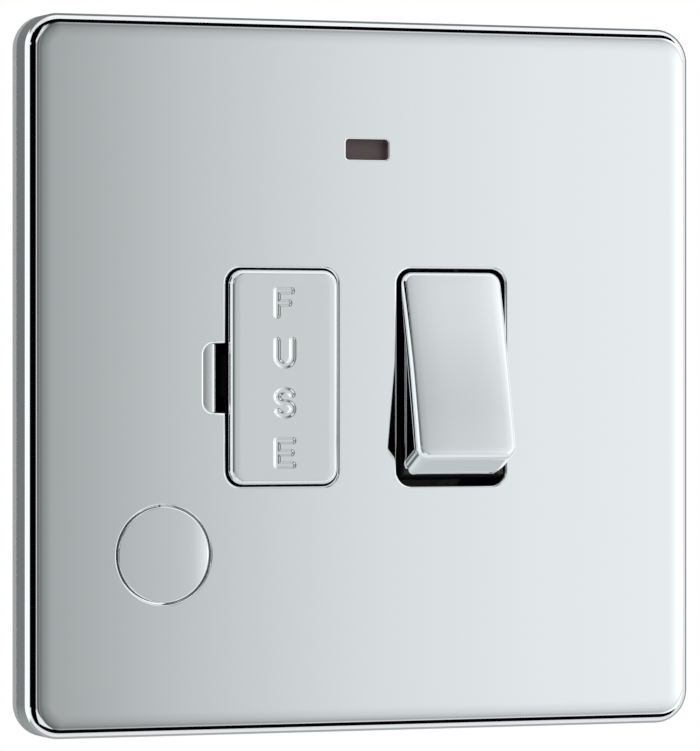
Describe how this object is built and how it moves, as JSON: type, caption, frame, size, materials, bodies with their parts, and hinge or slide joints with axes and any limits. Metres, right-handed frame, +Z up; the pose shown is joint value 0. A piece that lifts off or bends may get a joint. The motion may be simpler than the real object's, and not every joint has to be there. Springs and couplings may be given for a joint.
{
  "type": "fused spur unit",
  "caption": "Switched fused wall connection unit with a flat chromed clip-on plate, pull-out fuse carrier, rocker, indicator window and flex outlet knock-out.",
  "frame": {"origin": "on the wall's face, midway between the two fixing holes", "axes": "+X right, +Z up seen from the front, +Y into the wall"},
  "size_m": [0.088, 0.0348, 0.088],
  "materials": {
    "chromed_plate": "polished chrome plating on pressed steel",
    "chromed_trim": "polished chrome plating on moulded caps",
    "frame_plastic": "pale grey moulded plastic",
    "black_moulding": "black moulded plastic with a fine grain",
    "rear_moulding": "white moulded plastic",
    "steel_screw": "zinc plated steel",
    "brass_screw": "bare brass",
    "brass": "bare brass",
    "spring_steel": "bright spring wire",
    "copper_strip": "bare copper strip",
    "spring_bronze": "spring bronze strip",
    "ceramic": "glazed ceramic tube",
    "nickel_cap": "nickel plated brass",
    "lens": "dark plum translucent plastic",
    "lamp_glass": "clear glass",
    "resistor_paint": "painted resistor body",
    "lead_sleeve": "white sleeved wire"
  },
  "bodies": {
    "base": {"mounting_frame": "frame_plastic", "front_moulding": "black_moulding", "rear_housing": "rear_moulding", "case_screws": "steel_screw", "clamp_screws": "steel_screw", "terminal_screws": "brass_screw", "clamp_bar": "black_moulding", "live_fixed_contact": "copper_strip", "neutral_fixed_contact": "copper_strip", "live_link": "copper_strip", "neutral_link": "copper_strip", "load_live_link": "copper_strip", "upper_fuse_clip": "spring_bronze", "lower_fuse_clip": "spring_bronze", "indicator_lens": "lens", "neon_lamp": "lamp_glass", "neon_resistor": "resistor_paint", "neon_leads": "lead_sleeve", "supply_earth_terminal": "brass", "load_earth_terminal": "brass", "supply_live_terminal": "brass", "supply_neutral_terminal": "brass", "load_live_terminal": "brass", "load_neutral_terminal": "brass", "earth_strap": "spring_bronze"},
    "plate": {"front_plate": "chromed_plate"},
    "rocker": {"rocker_cap": "chromed_trim", "rocker_body": "black_moulding", "live_plunger": "brass", "neutral_plunger": "brass", "live_plunger_spring": "spring_steel", "neutral_plunger_spring": "spring_steel"},
    "live_switch_lever": {"live_lever": "copper_strip"},
    "neutral_switch_lever": {"neutral_lever": "copper_strip"},
    "fuse_carrier": {"carrier_cap": "chromed_trim", "fuse_drawer": "black_moulding", "fuse_tube": "ceramic", "upper_fuse_cap": "nickel_cap", "lower_fuse_cap": "nickel_cap"}
  },
  "joints": [
    {"name": "rocker_hinge", "type": "hinge", "parent": "base", "child": "rocker", "pos_m": [0.01125, -0.0023, 0], "axis": [1, 0, 0], "range_deg": [0, 25]},
    {"name": "live_lever_hinge", "type": "hinge", "parent": "base", "child": "live_switch_lever", "pos_m": [0.00765, 0.0122, 0], "axis": [1, 0, 0], "range_deg": [-20, 0]},
    {"name": "neutral_lever_hinge", "type": "hinge", "parent": "base", "child": "neutral_switch_lever", "pos_m": [0.01485, 0.0122, 0], "axis": [1, 0, 0], "range_deg": [-20, 0]},
    {"name": "fuse_carrier_slide", "type": "slide", "parent": "base", "child": "fuse_carrier", "axis": [0, -1, 0], "range_m": [0, 0.0138]},
    {"name": "plate_slide", "type": "slide", "parent": "base", "child": "plate", "axis": [0, -1, 0], "range_m": [0, 0.015]}
  ],
  "couplings": [
    {"joint": "live_lever_hinge", "follows": "rocker_hinge", "ratio": -0.8},
    {"joint": "neutral_lever_hinge", "follows": "rocker_hinge", "ratio": -0.8}
  ]
}
